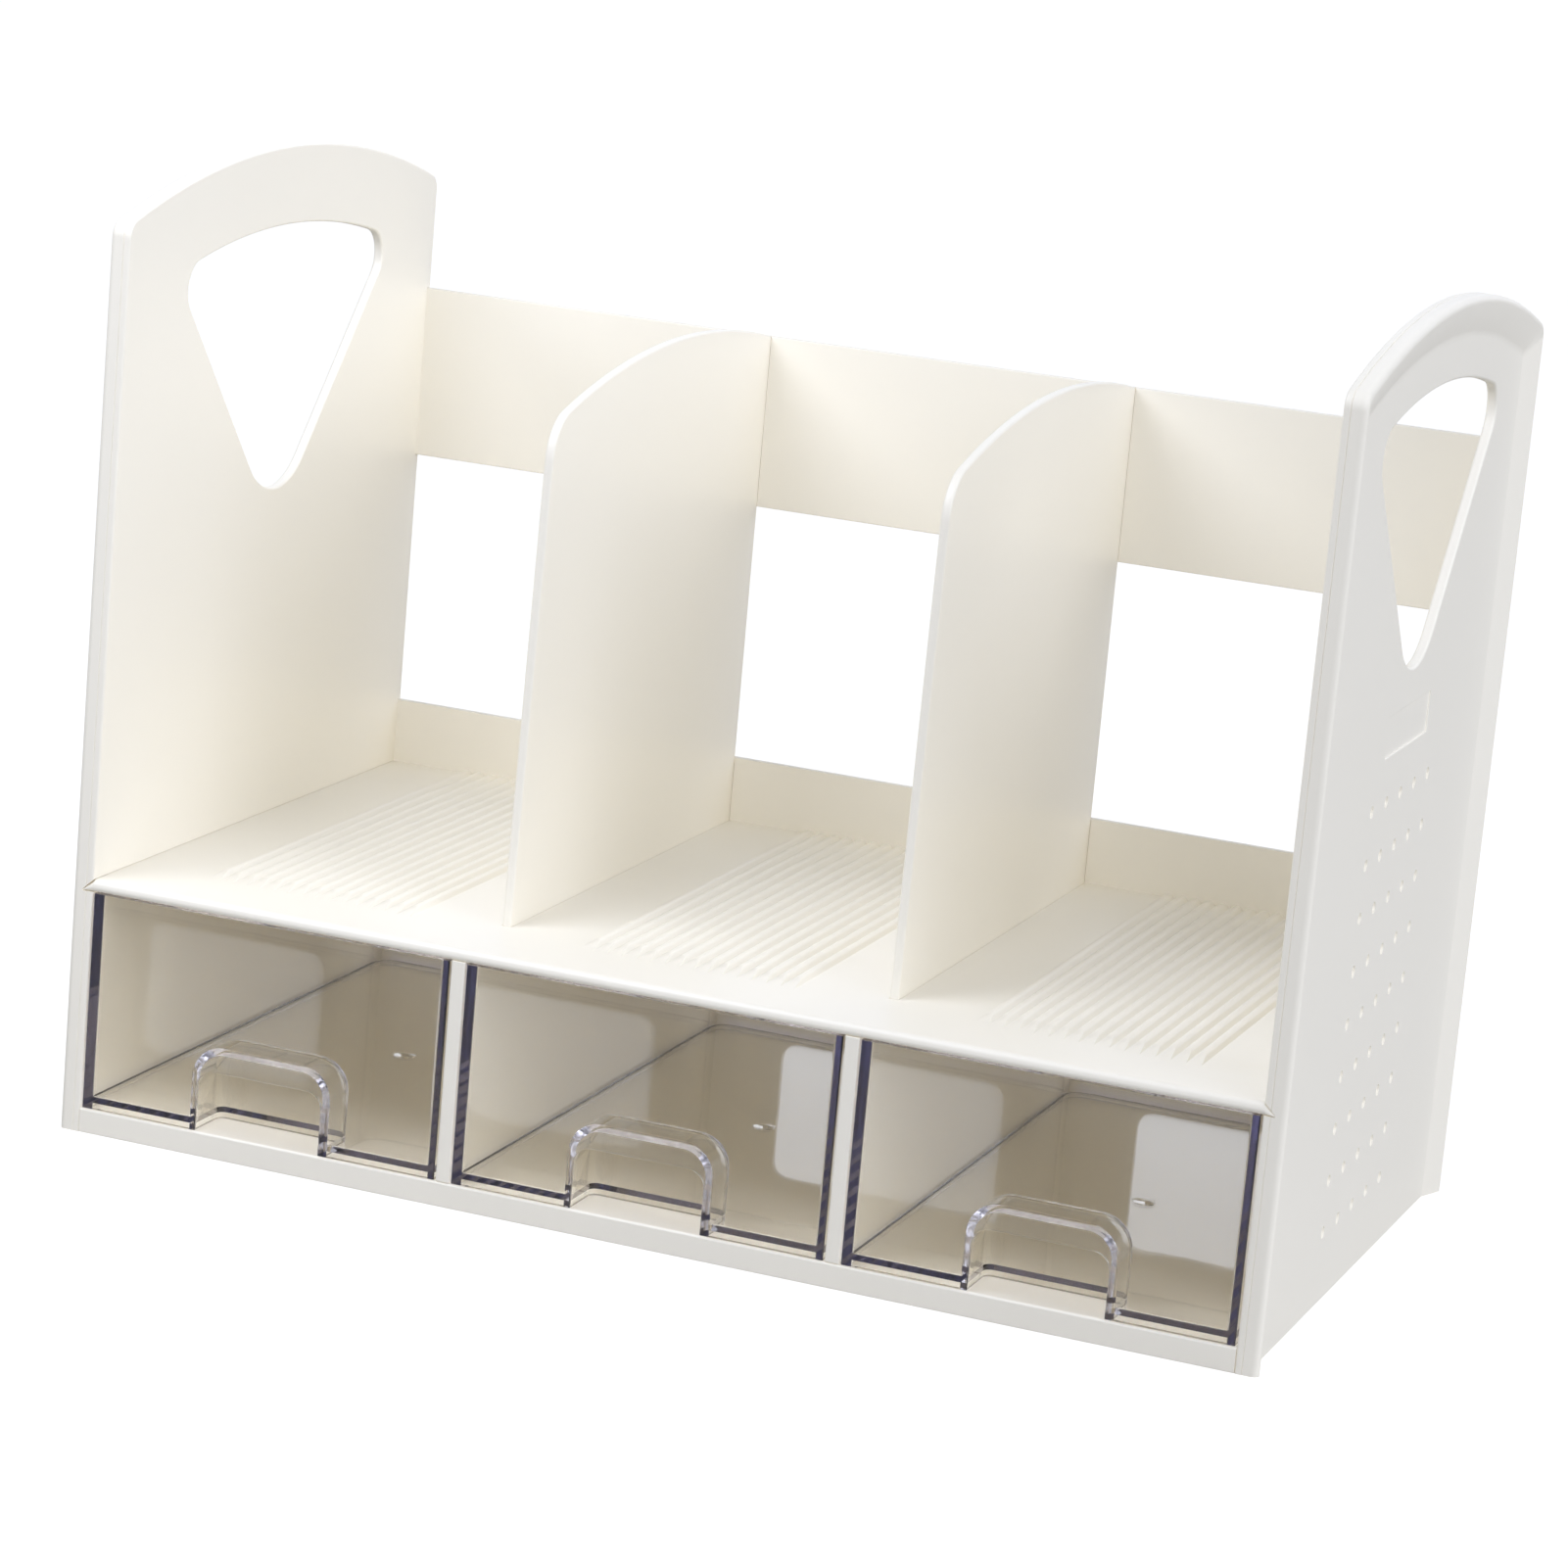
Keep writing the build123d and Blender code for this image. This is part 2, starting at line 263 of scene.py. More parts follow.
# %% Sky, softboxes, near lamp and floor
world = bpy.data.worlds.new("studio")
bpy.context.scene.world = world
world.use_nodes = True
sky = world.node_tree.nodes["Background"]
daylight = (0.985, 1.02, 1.12)
sky.inputs["Color"].default_value = (*daylight, 1)
sky_strength, floor_glow, floor_size = 0.31, 0.72, 30
sky.inputs["Strength"].default_value = sky_strength
softboxes = [  # name, bearing from the front to the right, height, strength, spread in degrees
    ("front right", 45, 18, 0.30, 60), ("right", 90, 28, 0.40, 60), ("back sweep", 180, 15, 0.19, 60),
]
for name, bearing, height, strength, spread in softboxes:
    sun = bpy.data.lights.new(name, "SUN")
    sun.energy, sun.angle, sun.color = pi * strength, radians(spread), daylight
    lamp = bpy.data.objects.new(name, sun)
    lamp.rotation_euler = (radians(90 - height), 0, radians(bearing))
    bpy.context.scene.collection.objects.link(lamp)
disk_size, disk_watts, disk_place, disk_target = 0.5, 3.55, (-0.35, -0.40, 0.75), Vector((0, 0, 0.1))
near_light = bpy.data.lights.new("near lamp", "AREA")
near_light.shape, near_light.size = "DISK", disk_size
near_light.energy, near_light.color = disk_watts, daylight
near_lamp = bpy.data.objects.new("near lamp", near_light)
near_lamp.location = disk_place
aim = disk_target - near_lamp.location
near_lamp.rotation_euler = aim.to_track_quat("-Z", "Y").to_euler()
bpy.context.scene.collection.objects.link(near_lamp)
floor_mesh = bpy.data.meshes.new("floor")
bm = bmesh.new()
bmesh.ops.create_grid(bm, x_segments=2, y_segments=2, size=floor_size)
bm.to_mesh(floor_mesh)
bm.free()
floor = bpy.data.objects.new("floor", floor_mesh)
bpy.context.scene.collection.objects.link(floor)
paper = bpy.data.materials.new("white paper")
paper.use_nodes = True
paper_shader = paper.node_tree.nodes["Principled BSDF"]
paper_shader.inputs["Base Color"].default_value = (0.46, 0.445, 0.415, 1)
seen = paper.node_tree.nodes.new("ShaderNodeLightPath")
glow = paper.node_tree.nodes.new("ShaderNodeMath")
glow.operation = "MULTIPLY"
glow.inputs[1].default_value = floor_glow
paper.node_tree.links.new(seen.outputs["Is Camera Ray"], glow.inputs[0])
paper.node_tree.links.new(glow.outputs[0], paper_shader.inputs["Emission Strength"])
paper_shader.inputs["Emission Color"].default_value = (1, 1, 1, 1)
paper.cycles.emission_sampling = "NONE"
paper_shader.inputs["Roughness"].default_value = 0.9
paper_shader.inputs["Specular IOR Level"].default_value = 0.1
floor_mesh.materials.append(paper)
bpy.context.scene.view_settings.view_transform = "Standard"
paths = bpy.context.scene.cycles  # light bounces many times between the clear walls
paths.max_bounces, paths.transmission_bounces, paths.glossy_bounces = 64, 64, 48
paths.diffuse_bounces, paths.transparent_max_bounces = 20, 32
paths.blur_glossy = 0.0  # a blurred path would lose the light that the clear walls pass on
print("softboxes:", [name for name, *_ in softboxes], "near lamp at", disk_place)

# %% [markdown]
# ## Shared surface effects
# Both plastics come out of polished or finely blasted steel moulds. Their look is in small things:
# a fine grain, slow changes of tone, and a few handling marks. These are built once as node
# groups, and each material sets its own amounts.

# %% Node helpers and groups
def node(tree, kind, inputs=(), **settings):
    made_node = tree.nodes.new(kind)
    for name, value in settings.items():
        setattr(made_node, name, value)
    for name, value in dict(inputs).items():
        if isinstance(value, bpy.types.NodeSocket):
            tree.links.new(value, made_node.inputs[name])
        else:
            made_node.inputs[name].default_value = value
    return made_node


def group(name, inputs, outputs):
    tree = bpy.data.node_groups.new(name, "ShaderNodeTree")
    for label, kind, value in inputs:
        socket = tree.interface.new_socket(name=label, in_out="INPUT", socket_type=kind)
        socket.default_value = value
    for label, kind in outputs:
        tree.interface.new_socket(name=label, in_out="OUTPUT", socket_type=kind)
    return tree, tree.nodes.new("NodeGroupInput"), tree.nodes.new("NodeGroupOutput")


grain_tree, grain_in, grain_out = group(
    "mould grain",
    [("Grain Size", "NodeSocketFloat", 2600.0), ("Wave Size", "NodeSocketFloat", 24.0),
     ("Wave Share", "NodeSocketFloat", 0.5)],
    [("Height", "NodeSocketFloat")],
)
place = node(grain_tree, "ShaderNodeTexCoord").outputs["Object"]
fine = node(grain_tree, "ShaderNodeTexNoise", {
    "Vector": place, "Scale": grain_in.outputs["Grain Size"], "Detail": 2.0, "Roughness": 0.6})
slow = node(grain_tree, "ShaderNodeTexNoise", {
    "Vector": place, "Scale": grain_in.outputs["Wave Size"], "Detail": 1.0})
both = node(grain_tree, "ShaderNodeMix", {
    "Factor": grain_in.outputs["Wave Share"], "A": fine.outputs["Fac"], "B": slow.outputs["Fac"]})
grain_tree.links.new(both.outputs["Result"], grain_out.inputs["Height"])

tone_tree, tone_in, tone_out = group(
    "slow tone and marks",
    [("Tone Size", "NodeSocketFloat", 9.0), ("Mark Size", "NodeSocketFloat", 160.0)],
    [("Tone", "NodeSocketFloat"), ("Marks", "NodeSocketFloat")],
)
place = node(tone_tree, "ShaderNodeTexCoord").outputs["Object"]
cloud = node(tone_tree, "ShaderNodeTexNoise", {
    "Vector": place, "Scale": tone_in.outputs["Tone Size"], "Detail": 4.0, "Roughness": 0.55})
stretched = node(tone_tree, "ShaderNodeMapping", {"Vector": place, "Scale": (0.16, 0.5, 1.0)})
scratch = node(tone_tree, "ShaderNodeTexNoise", {
    "Vector": stretched.outputs["Vector"], "Scale": tone_in.outputs["Mark Size"],
    "Detail": 3.0, "Roughness": 0.7, "Distortion": 0.6})
marked = node(tone_tree, "ShaderNodeMapRange", {
    "Value": scratch.outputs["Fac"], "From Min": 0.56, "From Max": 0.76})
tone_tree.links.new(cloud.outputs["Fac"], tone_out.inputs["Tone"])
tone_tree.links.new(marked.outputs["Result"], tone_out.inputs["Marks"])
print("groups:", [g.name for g in bpy.data.node_groups])

# %% [markdown]
# ## Ivory plastic
# The panels are a satin ivory, a little warmer where light bounces inside the bays. A plain colour
# would look like paper, so two close ivories drift into each other, roughness follows the
# handling marks, and a fine bump breaks the highlights as the blasted mould does.

# %% Ivory plastic material
ivory = bpy.data.materials.new("ivory plastic")
ivory.use_nodes = True
tree = ivory.node_tree
shader = tree.nodes["Principled BSDF"]
tone = node(tree, "ShaderNodeGroup", node_tree=tone_tree)
grain = node(tree, "ShaderNodeGroup", {"Grain Size": 2600.0, "Wave Size": 18.0, "Wave Share": 0.35},
             node_tree=grain_tree)
colour = node(tree, "ShaderNodeMix", {
    "Factor": tone.outputs["Tone"], 6: (0.92, 0.882, 0.785, 1), 7: (0.94, 0.904, 0.815, 1)},
    data_type="RGBA")
gloss = node(tree, "ShaderNodeMapRange", {
    "Value": tone.outputs["Marks"], "To Min": 0.36, "To Max": 0.46})
bump = node(tree, "ShaderNodeBump", {
    "Strength": 0.12, "Distance": 0.0001, "Height": grain.outputs["Height"]})
tree.links.new(colour.outputs[2], shader.inputs["Base Color"])
tree.links.new(gloss.outputs["Result"], shader.inputs["Roughness"])
tree.links.new(bump.outputs["Normal"], shader.inputs["Normal"])
shader.inputs["IOR"].default_value = 1.53
shader.inputs["Specular IOR Level"].default_value = 0.42
print("material:", ivory.name)

# %% [markdown]
# ## Smoky clear plastic
# The drawers are clear polystyrene with a trace of smoke. Through a wall it hardly shows, but
# light that runs along a wall crosses centimetres of plastic and leaves the edges dark violet
# grey. A tinted surface can't do that, so that colour is in the volume, as absorption. Lamp rays
# meet a plain see-through surface instead, a little brown, so that the drawers' insides are lit.

# %% Smoky clear material
clear = bpy.data.materials.new("smoky clear plastic")
clear.use_nodes = True
tree = clear.node_tree
shader = tree.nodes["Principled BSDF"]
shader.inputs["Base Color"].default_value = (0.982, 0.978, 0.96, 1)
shader.inputs["Transmission Weight"].default_value = 1.0
shader.inputs["IOR"].default_value = 1.57
tone = node(tree, "ShaderNodeGroup", {"Tone Size": 14.0, "Mark Size": 210.0}, node_tree=tone_tree)
grain = node(tree, "ShaderNodeGroup", {"Grain Size": 900.0, "Wave Size": 30.0, "Wave Share": 0.97},
             node_tree=grain_tree)
haze = node(tree, "ShaderNodeMapRange", {
    "Value": tone.outputs["Marks"], "To Min": 0.015, "To Max": 0.06})
flow = node(tree, "ShaderNodeBump", {
    "Strength": 0.06, "Distance": 0.0004, "Height": grain.outputs["Height"]})
tree.links.new(haze.outputs["Result"], shader.inputs["Roughness"])
tree.links.new(flow.outputs["Normal"], shader.inputs["Normal"])
through = node(tree, "ShaderNodeBsdfTransparent", {"Color": (0.825, 0.815, 0.795, 1)})
rays = node(tree, "ShaderNodeLightPath")
choice = node(tree, "ShaderNodeMixShader", {
    "Fac": rays.outputs["Is Shadow Ray"], 1: shader.outputs["BSDF"], 2: through.outputs["BSDF"]})
smoke = node(tree, "ShaderNodeVolumeAbsorption", {"Color": (0.36, 0.33, 0.58, 1), "Density": 6.0})
output = tree.nodes["Material Output"]
tree.links.new(choice.outputs["Shader"], output.inputs["Surface"])
tree.links.new(smoke.outputs["Volume"], output.inputs["Volume"])
print("material:", clear.name)

# %% [markdown]
# ## Side panels
# It could be one extruded plate with insets, but an inset folds over itself in the tight
# shoulder corners. So the outline is drawn several times, at the depth and inset of each ridge,
# and the rings are bridged from the inner face to the sunk field.

# %% Panel outline and rings
arch_radius, corner_radius = 300.0, 5.0
rim_width, border_width, field_recess, field_corner = 2.0, 10.5, 3.2, 1.5
inner_round, rim_edge_round, field_round, hole_round = 0.7, 1.75, 0.9, 0.8
cellar = 30.0  # the rings run this far below the desk until they are cut level
parting_place, parting_width, parting_depth = 2.0, 0.36, 0.22
arch_hub = body_height - arch_radius


def panel_ring(bm, x, inset, corner):
    """One closed outline of the right panel."""
    half, radius = half_depth - inset, arch_radius - inset
    y = half - corner
    z = arch_hub + sqrt((radius - corner) ** 2 - y**2)
    lean = atan2(z - arch_hub, y)
    moves = [(half, z), (y, z, lean, 6), (0, arch_hub, pi - 2 * lean, 44), (-y, z, lean, 6),
             (-half, inset - cellar)]
    return pen(bm, (half, inset - cellar), moves, SIDEWAYS, x)


def panel_blank():
    """Right panel with its border, before the hole and the slots are cut."""
    bm = bmesh.new()
    seam = inner_face + parting_place
    stack = [
        (inner_face, 0, corner_radius),
        (seam - parting_width / 2, 0, corner_radius),
        (seam, parting_depth, corner_radius - parting_depth),
        (seam + parting_width / 2, 0, corner_radius),
        (half_width, 0, corner_radius),
        (half_width, rim_width, corner_radius - rim_width),
        (half_width - field_recess, border_width, field_corner),
    ]
    rings = [panel_ring(bm, *ring) for ring in stack]
    for ring, following in zip(rings, rings[1:]):
        bmesh.ops.bridge_loops(bm, edges=ring + following)
    for ring in (rings[0], rings[-1]):
        bmesh.ops.edgeloop_fill(bm, edges=ring)
    bmesh.ops.recalc_face_normals(bm, faces=bm.faces)
    rounds = ((rings[0], inner_round, 3), (rings[4], rim_edge_round, 5), (rings[6], field_round, 3))
    for ring, radius, segments in rounds:
        rounded(bm, ring, radius, segments)
    everything = bm.verts[:] + bm.edges[:] + bm.faces[:]
    bmesh.ops.bisect_plane(
        bm, geom=everything, plane_co=(0, 0, 0), plane_no=(0, 0, 1), clear_inner=True)
    bmesh.ops.holes_fill(bm, edges=[e for e in bm.edges if e.is_boundary], sides=0)
    return bm


blank = panel_blank()
print("panel blank:", len(blank.faces), "faces")

# %% [markdown]
# The handle hole is a soft triangle: a shallow arch above, two straight sides and a round tip. Its
# corner arcs touch both the arch and the sides, so their centres are found once from the radii,
# and the pen then spins each arc about its own centre.

# %% Handle hole
handle_top, handle_foot, handle_half = 244.2, 157.4, 66.6
handle_radius, handle_corner, handle_tip = 250.0, 8.0, 21.0


def corner_on_arch(hub, radius, foot, way, inward, corner):
    """Centre of a round corner between an arch and a straight edge, and its reach along the edge."""
    start = foot + inward * corner - hub
    along = -start.dot(way) + sqrt(start.dot(way) ** 2 - start.length_squared + (radius - corner) ** 2)
    return hub + start + way * along, along


def handle_cutter():
    hub = Vector((0, handle_top - handle_radius))
    shoulder = hub.y + sqrt(handle_radius**2 - handle_half**2)
    tip = Vector((0, handle_foot))
    way = (Vector((handle_half, shoulder)) - tip).normalized()
    inward = Vector((-way.y, way.x))
    centre, along = corner_on_arch(hub, handle_radius, tip, way, inward, handle_corner)
    half_angle = atan2(way.x, way.y)
    touch = atan2(centre.y - hub.y, centre.x)
    run = handle_tip / tan(half_angle)
    low, high = tip + way * run, tip + way * along
    bm = bmesh.new()
    outline = pen(bm, low, [
        tuple(high), (*centre, touch + half_angle, 12), (*hub, pi - 2 * touch, 28),
        (-centre.x, centre.y, touch + half_angle, 12), (-low.x, low.y),
        (0, handle_foot + handle_tip / sin(half_angle), pi - 2 * half_angle, 16),
    ], SIDEWAYS, inner_face - past)
    slab(bm, outline, (side_thickness + 2 * past, 0, 0))
    return bm


cut(blank, handle_cutter())
hole_edges = [
    e for e in blank.edges
    if len(e.link_faces) == 2 and e.calc_face_angle() > radians(60)
    and all(handle_foot < v.co.z < handle_top + 1 and abs(v.co.y) < handle_half + 1
            for v in e.verts)
]
rounded(blank, hole_edges, hole_round, 3)
print("handle hole:", len(hole_edges), "edges rounded")

# %% [markdown]
# Below the hole are a shallow nameplate recess, left bare, and rows of small round dimples. They
# are sunk into the field, so they are cutters too: one plate and forty-five little drafted cups.
# The plate's rim is rounded after the cut, as a mould's edge is, and catches a thin line of light.

# %% Nameplate and dimples
plate_width, plate_height, plate_depth, plate_top = 44.0, 11.2, 0.5, 158.7
plate_round, plate_floor_round = 0.25, 0.2
dimple_radius, dimple_depth, dimple_draft = 1.7, 0.8, 0.25
dimple_across, dimple_down, dimple_columns, dimple_rows, dimple_first = 14.6, 14.3, 5, 9, 134.7
field = half_width - field_recess


def marks_cutter():
    bm = bmesh.new()
    box(bm, (field - plate_depth, field + past), (-plate_width / 2, plate_width / 2),
        (plate_top - plate_height, plate_top))
    rounded(bm, edges_where(bm, lambda c: c.x < field), plate_floor_round, 2)
    for column in range(dimple_columns):
        for row in range(dimple_rows):
            y = (column - (dimple_columns - 1) / 2) * dimple_across
            z = dimple_first - row * dimple_down
            cup = Matrix.Translation((field, y, z))
            bmesh.ops.create_cone(
                bm, cap_ends=True, segments=20, radius1=dimple_radius - dimple_draft,
                radius2=dimple_radius + dimple_draft, depth=2 * dimple_depth,
                matrix=cup @ Matrix.Rotation(pi / 2, 4, "Y"))
    return bm


cut(blank, marks_cutter())
plate_rim = edges_where(blank, lambda c: near(c.x, field) and abs(c.y) < plate_width / 2 + clearance
                        and abs(c.z - plate_top + plate_height / 2) < plate_height / 2 + clearance)
rounded(blank, plate_rim, plate_round, 3)
print("marks cut:", dimple_columns * dimple_rows, "dimples,", len(plate_rim), "rim edges")

# %% [markdown]
# The inner face is slotted for the shelf, the base and the two back strips. At the front, the shelf
# ends in a small wedge that shows in the panel's edge, so that slot tapers as well.

# %% Slots, and both panels
tongue_depth, ear_reach, ear_depth, ear_tip = 1.6, 3.0, 8.0, 0.5


def wedge(bm, reach, room):
    """The shelf's front corner: full height at the inner face, nearly a point at its tip."""
    low, high = shelf_bottom - room, shelf_top + room
    outline = pen(bm, (inner_face - past, low), [
        (inner_face + reach + room, low), (inner_face + reach + room, low + ear_tip + room),
        (inner_face, high), (inner_face - past, high)], FACING, -(front + ear_depth + room))
    return slab(bm, outline, (0, -(ear_depth + room) - past, 0))


def slots_cutter():
    bm = bmesh.new()
    reach = (inner_face - past, inner_face + tongue_depth)
    shelf_z = (shelf_bottom, shelf_top + clearance)
    box(bm, reach, (front + ear_depth / 2, back_face), shelf_z)
    box(bm, reach, (front + joint_setback, back_face),
        (base_height - base_thickness, base_height + clearance))
    box(bm, reach, (back_face, rear + past), (-past, back_top + clearance))
    box(bm, reach, (back_face, rear + past), (rail_bottom - clearance, rail_top + clearance))
    return bm


def ear_cutter():
    bm = bmesh.new()
    wedge(bm, ear_reach, clearance)
    return bm


cut(blank, slots_cutter())
cut(blank, ear_cutter())
mirrored = blank.copy()
bmesh.ops.scale(mirrored, vec=(-1, 1, 1), verts=mirrored.verts)
bmesh.ops.reverse_faces(mirrored, faces=mirrored.faces)
finish_panel(blank, "side_panel_right", "right_side_panel")
finish_panel(mirrored, "side_panel_left", "left_side_panel")

# %% [markdown]
# ## Shelf
# The shelf closes the drawer bays and carries the files. It is a thin plate with a rounded front
# edge. Its ends enter the side panels: a long tongue behind, and a small wedge in front that shows.
# The ends could be boxes joined on, but they are pulled out of the end faces, so no seam is left.

# %% Shelf blank with its front edge and end tongues
shelf_round, shelf_under_round, ear_gap = 2.0, 1.2, 0.6
tongue_end = inner_face + tongue_depth - clearance


def end_faces(bm, side):
    """The faces that close a panel on the left (-1) or on the right (1), from front to back."""
    ends = [f for f in bm.faces if f.normal.x * side > 0.9]
    return sorted(ends, key=lambda f: f.calc_center_median().y)


def split(bm, faces, place, way):
    """Cut only the given faces by a plane."""
    geom = list({v for f in faces for v in f.verts} | {e for f in faces for e in f.edges}) + faces
    bmesh.ops.bisect_plane(bm, geom=geom, dist=clearance / 100, plane_co=place, plane_no=way)


def raise_face(bm, face, step):
    """Extrude one face and move it. Returns the moved face."""
    cap = bmesh.ops.extrude_discrete_faces(bm, faces=[face])["faces"][0]
    bmesh.ops.translate(bm, vec=step, verts=cap.verts)
    return cap


def shelf_blank():
    bm = bmesh.new()
    box(bm, (-inner_face, inner_face), (front, back_face), (shelf_bottom, shelf_top))
    for z, radius, segments in ((shelf_top, shelf_round, 6), (shelf_bottom, shelf_under_round, 4)):
        rounded(bm, edges_where(bm, lambda c: near(c.y, front) and near(c.z, z)), radius, segments)
    squeeze = Matrix.Translation((0, 0, -shelf_bottom))
    thin = ear_tip / (shelf_top - shelf_bottom)
    for side in (-1, 1):
        for y in (front + ear_depth, front + ear_depth + ear_gap):
            split(bm, end_faces(bm, side), (0, y, 0), (0, 1, 0))
        ends = end_faces(bm, side)
        raise_face(bm, ends[-1], (side * (tongue_end - inner_face), 0, 0))
        ear = raise_face(bm, ends[0], (side * ear_reach, 0, 0))
        bmesh.ops.scale(bm, vec=(1, 1, thin), space=squeeze, verts=ear.verts)
    return bm


shelf = shelf_blank()
print("shelf blank:", len(shelf.faces), "faces")

# %% [markdown]
# Each bay has a field of fine ribs that keep papers from sliding. They could be a bump in the
# material, but they catch the light from the side, and a bump has no true flanks. So the top face
# is split into strips, every other strip is raised and narrowed, its front end is drawn back into
# a ramp, and its crest is rounded.

# %% Ribs
rib_pitch, rib_width, rib_height, rib_flank, rib_count = 4.16, 3.9, 1.25, 1.25, 15
rib_start, rib_ramp, rib_round = front + 22.0, 9.0, 0.6
bays = (-bay_step, 0.0, bay_step)
rib_places = [bay + (i - (rib_count - 1) / 2) * rib_pitch for bay in bays for i in range(rib_count)]


def shelf_tops(bm, start):
    """Flat top faces behind a place."""
    middles = ((f, f.calc_center_median()) for f in bm.faces if f.normal.z > 0.99)
    return [f for f, c in middles if near(c.z, shelf_top) and c.y > start]


split(shelf, shelf_tops(shelf, front), (0, rib_start, 0), (0, 1, 0))
for x in rib_places:
    for edge in (x - rib_width / 2, x + rib_width / 2):
        crossed = [f for f in shelf_tops(shelf, rib_start)
                   if min(v.co.x for v in f.verts) < edge < max(v.co.x for v in f.verts)]
        split(shelf, crossed, (edge, 0, 0), (1, 0, 0))
strips = [f for f in shelf_tops(shelf, rib_start)
          if any(abs(f.calc_center_median().x - x) < rib_width / 4 for x in rib_places)]
for strip in strips:
    cap = raise_face(shelf, strip, (0, 0, rib_height))
    hub = Matrix.Translation(-cap.calc_center_median())
    bmesh.ops.scale(shelf, vec=(1 - 2 * rib_flank / rib_width, 1, 1), space=hub, verts=cap.verts)
    bmesh.ops.translate(shelf, vec=(0, rib_ramp, 0), verts=[v for v in cap.verts if v.co.y < 0])
crests = edges_where(shelf, lambda c: near(c.z, shelf_top + rib_height))
rounded(shelf, [e for e in crests if abs(e.verts[0].co.y - e.verts[1].co.y) > 1], rib_round, 4)
print("ribs:", len(strips))

# %% [markdown]
# The uprights stand in grooves, the dividers above and the partitions below. A groove is a plain
# box, a little wider than its tongue, and all four are cut in one Boolean.

# %% Grooves for the uprights
divider_thickness, divider_setback, partition_tongue, groove_depth = 2.7, 30.0, 2.0, 1.2


def groove(bm, x, width, y, z):
    """A box that is wider than its tongue by the clearance at each side."""
    reach = width / 2 + clearance
    box(bm, (x - reach, x + reach), y, z)


grooves = bmesh.new()
for x in (-upright_x, upright_x):
    groove(grooves, x, divider_thickness, (front + divider_setback - clearance, back_face + past),
           (shelf_top - groove_depth, shelf_top + past))
    groove(grooves, x, partition_tongue, (front + joint_setback - clearance, back_face + past),
           (shelf_bottom - past, shelf_bottom + groove_depth + clearance))
cut(shelf, grooves)
finish_panel(shelf, "shelf", "shelf_deck")

# %% [markdown]
# ## Base
# The base is a thin plate with a skirt down to the desk in front and behind. Its section is the
# same from side to side, so the section is drawn once and extruded, and only the tongues at its
# ends are pulled out of the end faces.

# %% Base
base_round, skirt_round = 0.8, 0.4


def base_panel():
    bm = bmesh.new()
    under = base_height - base_thickness
    section = pen(bm, (front, 0), [
        (front, base_height), (back_face, base_height), (back_face, 0),
        (back_face - base_thickness, 0), (back_face - base_thickness, under),
        (front + base_thickness, under), (front + base_thickness, 0),
    ], SIDEWAYS, -inner_face)
    slab(bm, section, (2 * inner_face, 0, 0))
    for z, radius, segments in ((base_height, base_round, 4), (0, skirt_round, 2)):
        rounded(bm, edges_where(bm, lambda c: near(c.y, front) and near(c.z, z)), radius, segments)
    for side in (-1, 1):
        split(bm, end_faces(bm, side), (0, 0, under), (0, 0, 1))
        uppers = [f for f in end_faces(bm, side) if f.calc_center_median().z > under]
        split(bm, uppers, (0, front + joint_setback + clearance, 0), (0, 1, 0))
        uppers = [f for f in end_faces(bm, side) if f.calc_center_median().z > under]
        raise_face(bm, uppers[-1], (side * (tongue_end - inner_face), 0, 0))
    tool = bmesh.new()
    for x in (-upright_x, upright_x):
        groove(tool, x, partition_tongue, (front + joint_setback - clearance, back_face + past),
               (base_height - groove_depth - clearance, base_height + past))
    cut(bm, tool)
    return bm


finish_panel(base_panel(), "base", "base_panel")

# %% [markdown]
# ## Back strips
# Two strips tie the side panels together behind: a rail above, and a panel below that stops the
# drawers. The lower one has a rounded window behind each drawer, so that a finger can push it out.
# The windows are cut with a Boolean, and their edges rounded afterwards.

# %% Lower back panel and upper rail
window_width, window_height, window_low, window_round = 61.0, 42.0, 13.2, 5.0
back_groove, strip_round, window_edge_round = 0.8, 0.5, 0.4


def strip_blank(low, high):
    bm = bmesh.new()
    box(bm, (-tongue_end, tongue_end), (back_face, rear), (low, high))
    rounded(bm, edges_where(bm, lambda c: near(c.z, high)), strip_round, 2)
    if low:
        rounded(bm, edges_where(bm, lambda c: near(c.z, low)), strip_round, 2)
    tool = bmesh.new()
    for x in (-upright_x, upright_x):
        groove(tool, x, divider_thickness, (back_face - past, back_face + back_groove + clearance),
               (max(low, shelf_top - groove_depth) - clearance, high + past))
    cut(bm, tool)
    return bm


def round_window(bm, x):
    half, r = window_width / 2, window_round
    low, high = window_low, window_low + window_height
    outline = pen(bm, (x + half, low + r), [
        (x + half, high - r), (x + half - r, high - r, pi / 2, 6),
        (x - half + r, high), (x - half + r, high - r, pi / 2, 6),
        (x - half, low + r), (x - half + r, low + r, pi / 2, 6),
        (x + half - r, low), (x + half - r, low + r, pi / 2, 6),
    ], FACING, -(back_face - past))
    slab(bm, outline, (0, back_thickness + 2 * past, 0))


lower_back = strip_blank(0, back_top)
windows = bmesh.new()
for bay in bays:
    round_window(windows, bay)
cut(lower_back, windows)


def by_window(c):
    beside = min(abs(c.x - bay) for bay in bays)
    return window_low - 1 < c.z < window_low + window_height + 1 and beside < window_width / 2 + 1


window_edges = [e for e in edges_where(lower_back, by_window) if e.calc_face_angle() > radians(60)]
rounded(lower_back, window_edges, window_edge_round, 2)
finish_panel(lower_back, "back_lower", "lower_back_panel")
finish_panel(strip_blank(rail_bottom, rail_top), "back_rail", "upper_back_rail")

# %% [markdown]
# ## Partitions and dividers
# Uprights in two lines split the width in three: short partitions between the drawers, and tall
# file dividers above the shelf. A partition is a box. Its tongues could be boxes of their own, but
# they are pulled out of its top and bottom faces, so that each partition stays one closed mesh.

